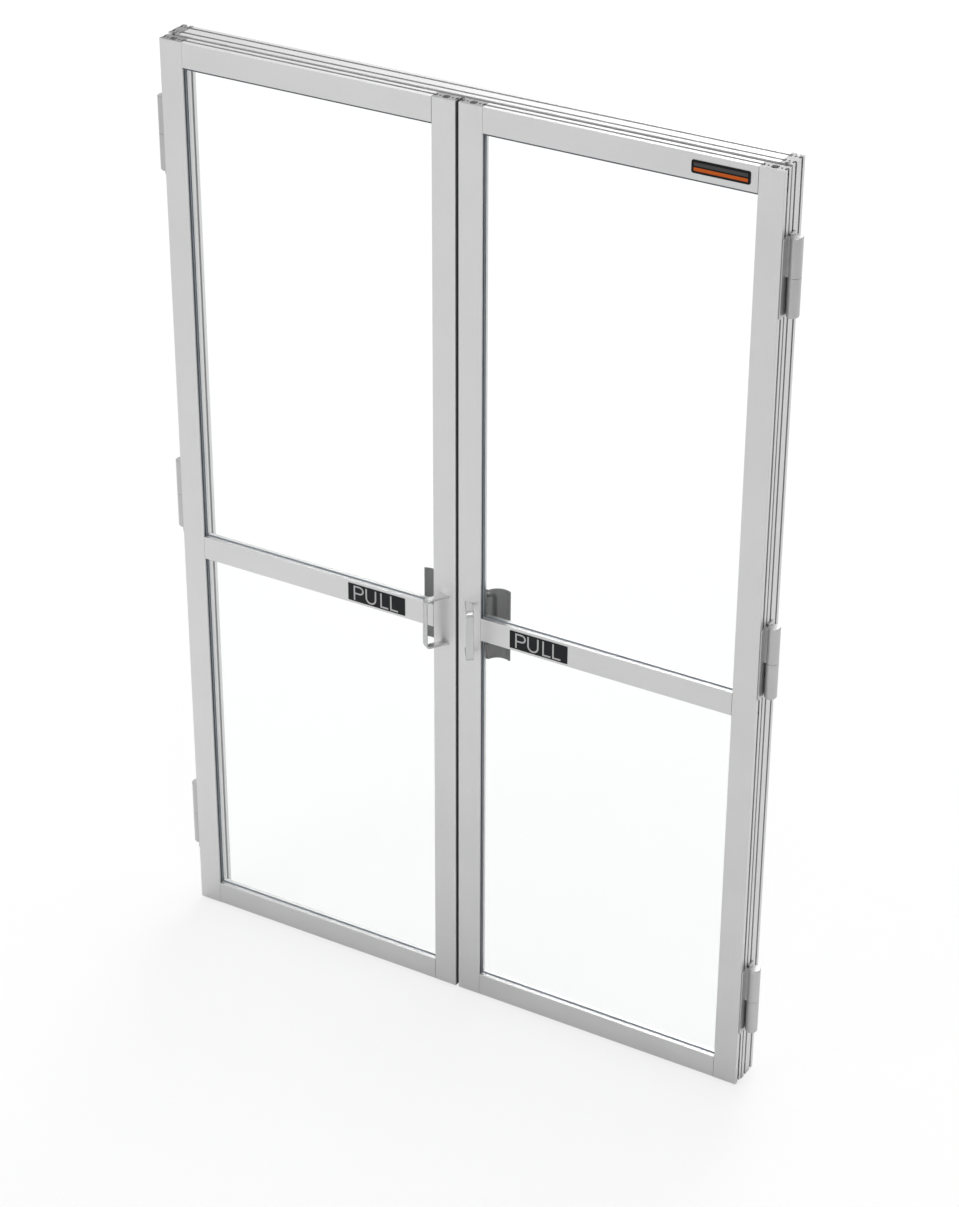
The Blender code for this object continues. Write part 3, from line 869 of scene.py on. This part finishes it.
def build_floor(settings):
    """A plain pale floor that looks white and keeps a soft shadow."""
    mesh = bpy.data.meshes.new("studio_floor")
    half = settings.floor_size / 2
    corners = [(-half, -half, 0.0), (half, -half, 0.0), (half, half, 0.0), (-half, half, 0.0)]
    mesh.from_pydata(corners, [], [(0, 1, 2, 3)])
    floor = bpy.data.objects.new("studio_floor", mesh)
    bpy.context.scene.collection.objects.link(floor)
    finish = Finish("pale floor", settings.floor, 1.0)
    finish.set("Specular IOR Level", 0.0)
    tree = finish.tree
    glow = finish.node("ShaderNodeEmission", Color=(1.0, 1.0, 1.0, 1.0), Strength=1.0)
    share = finish.node("ShaderNodeMath", operation="MULTIPLY")
    share.inputs[1].default_value = settings.floor_glow
    mix = finish.node("ShaderNodeMixShader")
    finish.link(seen_directly(tree), share.inputs[0])
    finish.link(share.outputs[0], mix.inputs[0])
    finish.link(finish.shader.outputs["BSDF"], mix.inputs[1])
    finish.link(glow.outputs[0], mix.inputs[2])
    finish.link(mix.outputs[0], tree.nodes["Material Output"].inputs["Surface"])
    mesh.materials.append(finish.material)


def build_camera(settings):
    """The camera at the photograph's viewpoint."""
    data = bpy.data.cameras.new("camera")
    data.sensor_fit = "VERTICAL"
    data.sensor_width = SENSOR_HEIGHT
    data.sensor_height = SENSOR_HEIGHT
    data.lens = settings.camera_lens
    data.clip_end = CLIP_END
    camera = bpy.data.objects.new("camera", data)
    bpy.context.scene.collection.objects.link(camera)
    place = Matrix.Translation(settings.camera_place)
    heading = Matrix.Rotation(settings.camera_heading, 4, "Z")
    tilt = Matrix.Rotation(math.pi / 2 - settings.camera_tilt, 4, "X")
    roll = Matrix.Rotation(settings.camera_roll, 4, "Z")
    camera.matrix_world = place @ heading @ tilt @ roll
    bpy.context.scene.camera = camera


class DOOR_OT_finish_profiles(Operator):
    """Give the jambs, header, stiles and rails their anodised finish"""

    bl_idname = "door.finish_profiles"
    bl_label = "Finish Profiles"

    def execute(self, context):
        metal = context.scene.door_looks.metal
        upright = nodes_of("jamb", "stile")
        level = nodes_of("header", "rail")
        for names, label, along in ((upright, "upright", ALONG_Z), (level, "level", ALONG_X)):
            material = drawn_metal(
                f"anodised aluminium {label}",
                metal.aluminium,
                metal.aluminium_roughness,
                metal.aluminium_metal,
                along,
                metal.end_shade_share,
            )
            dress(names, material)
        round_shading(upright + level, degrees=50.0)
        return {"FINISHED"}


class DOOR_OT_finish_hinges(Operator):
    """Give the barrel hinges their satin finish"""

    bl_idname = "door.finish_hinges"
    bl_label = "Finish Hinges"

    def execute(self, context):
        metal = context.scene.door_looks.metal
        names = nodes_of("hinge_leaf_half", "hinge_frame_half")
        material = cast_metal(
            "satin hinge metal",
            metal.hinge,
            metal.hinge_roughness,
            metal.hinge_metal,
        )
        dress(names, material)
        round_shading(names, degrees=35.0)
        return {"FINISHED"}


class DOOR_OT_finish_pulls(Operator):
    """Give the pulls their brushed finish"""

    bl_idname = "door.finish_pulls"
    bl_label = "Finish Pulls"

    def execute(self, context):
        metal = context.scene.door_looks.metal
        names = nodes_of("pull_handle")
        material = drawn_metal(
            "brushed pull metal",
            metal.pull,
            metal.pull_roughness,
            metal.pull_metal,
            along=ALONG_Z,
        )
        dress(names, material)
        round_shading(names, degrees=50.0)
        return {"FINISHED"}


class DOOR_OT_finish_push_plates(Operator):
    """Give the push plates their moulded grain, and add their screws"""

    bl_idname = "door.finish_push_plates"
    bl_label = "Finish Push Plates"

    def execute(self, context):
        looks = context.scene.door_looks
        plastic = looks.plastic
        names = nodes_of("push_plate")
        material = moulded(
            "black moulded plastic",
            plastic.push_plate,
            plastic.push_plate_roughness,
            grain_size=0.0007,
            depth=0.00004,
        )
        dress(names, material)
        round_shading(names, degrees=35.0)
        fastener = looks.metal.fastener
        steel = cast_metal("black screw steel", fastener, roughness=0.4, metallic=0.6)
        for side in SIDES:
            add_plate_screws(side, plastic, steel)
        return {"FINISHED"}


class DOOR_OT_glaze(Operator):
    """Give the panels and their gaskets their materials, and add the seal lips and the dark meeting
    strips of painted shade
    """

    bl_idname = "door.glaze"
    bl_label = "Glaze"

    def execute(self, context):
        glazing = context.scene.door_looks.glazing
        dress(nodes_of("panel"), clear_sheet(glazing))
        gasket = rubber("slate gasket rubber", glazing.gasket, roughness=0.6, depth=0.00003)
        dress(nodes_of("gasket"), gasket)
        lip = rubber("dark seal rubber", glazing.seal, roughness=0.55, depth=0.00002)
        # Painted shade: the meeting strip's dark colour stands in for the shade in the gap between
        # the leaves
        seal = rubber("meeting seal rubber", glazing.meeting_shade_strip, roughness=0.6, depth=0.00002)
        for side in SIDES:
            add_seal_lips(side, glazing, lip)
            add_meeting_shade_strip(side, glazing, seal)
        return {"FINISHED"}


class DOOR_OT_add_signs(Operator):
    """Add a sign to each middle rail"""

    bl_idname = "door.add_signs"
    bl_label = "Add Signs"

    def execute(self, context):
        signs = context.scene.door_looks.signs
        materials = [
            film("black sign film", signs.sign, roughness=0.45, gloss=0.15),
            film("pale letters", signs.letter, roughness=0.5, gloss=0.5),
        ]
        for side in SIDES:
            add_sign(side, signs, materials)
        return {"FINISHED"}


class DOOR_OT_add_plate(Operator):
    """Add the plain plate to the right leaf's top rail"""

    bl_idname = "door.add_plate"
    bl_label = "Add Plain Plate"

    def execute(self, context):
        signs = context.scene.door_looks.signs
        materials = [
            film("black plate", signs.plate, roughness=0.4, gloss=0.1),
            film("orange stripe", signs.warm_stripe, roughness=0.45, gloss=0.2),
            film("grey stripe", signs.grey_stripe, roughness=0.45, gloss=0.2),
        ]
        add_plain_plate(signs, materials)
        return {"FINISHED"}


class DOOR_OT_add_connectors(Operator):
    """Add the black connectors that join rails to stiles and the header to the jambs"""

    bl_idname = "door.add_connectors"
    bl_label = "Add Connectors"

    def execute(self, context):
        looks = context.scene.door_looks
        fastener = looks.metal.fastener
        steel = cast_metal("black oxide steel", fastener, roughness=0.45, metallic=0.6)
        for side in SIDES:
            add_leaf_connectors(side, looks.connectors, steel)
        add_frame_connectors(looks.connectors, steel)
        return {"FINISHED"}


class DOOR_OT_build_stage(Operator):
    """Build the floor, the world, the lamps and the camera"""

    bl_idname = "door.build_stage"
    bl_label = "Build Stage"

    def execute(self, context):
        stage = context.scene.door_looks.stage
        build_camera(stage)
        build_world(stage)
        build_floor(stage)
        for name, (place, aim, size) in LAMPS.items():
            add_area_lamp(f"{name} lamp", place, aim, size, getattr(stage, f"{name}_power"))
        context.scene.view_settings.view_transform = "Standard"
        return {"FINISHED"}


OPERATORS = (
    DOOR_OT_build_stage,
    DOOR_OT_finish_profiles,
    DOOR_OT_finish_hinges,
    DOOR_OT_finish_pulls,
    DOOR_OT_finish_push_plates,
    DOOR_OT_glaze,
    DOOR_OT_add_signs,
    DOOR_OT_add_plate,
    DOOR_OT_add_connectors,
)


class DOOR_PT_looks(Panel):
    """Lists the steps of the door's looks and their settings"""

    bl_idname = "DOOR_PT_looks"
    bl_label = "Containment Door"
    bl_space_type = "VIEW_3D"
    bl_region_type = "UI"
    bl_category = "Door"

    def draw(self, context):
        looks = context.scene.door_looks
        for operator in OPERATORS:
            self.layout.operator(operator.bl_idname)
        for group_name in looks.__annotations__:
            group = getattr(looks, group_name)
            box = self.layout.box()
            for name in group.__annotations__:
                box.prop(group, name)


CLASSES = (
    MetalSettings,
    GlazingSettings,
    PlasticSettings,
    ConnectorSettings,
    SignSettings,
    StageSettings,
    DoorSettings,
    *OPERATORS,
    DOOR_PT_looks,
)


def register():
    """Add the classes and the door's settings to Blender."""
    for cls in CLASSES:
        bpy.utils.register_class(cls)
    bpy.types.Scene.door_looks = PointerProperty(type=DoorSettings)


def unregister():
    """Take the classes and the door's settings out of Blender."""
    del bpy.types.Scene.door_looks
    for cls in reversed(CLASSES):
        bpy.utils.unregister_class(cls)


def corners(bounds):
    """A box's two corners as plain lists."""
    return [list(corner) for corner in bounds]


def main():
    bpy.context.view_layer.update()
    register()
    bpy.ops.door.build_stage()
    bpy.ops.door.finish_profiles()
    bpy.ops.door.finish_hinges()
    bpy.ops.door.finish_pulls()
    bpy.ops.door.finish_push_plates()
    bpy.ops.door.glaze()
    bpy.ops.door.add_signs()
    bpy.ops.door.add_plate()
    bpy.ops.door.add_connectors()


if __name__ == "__main__":
    main()
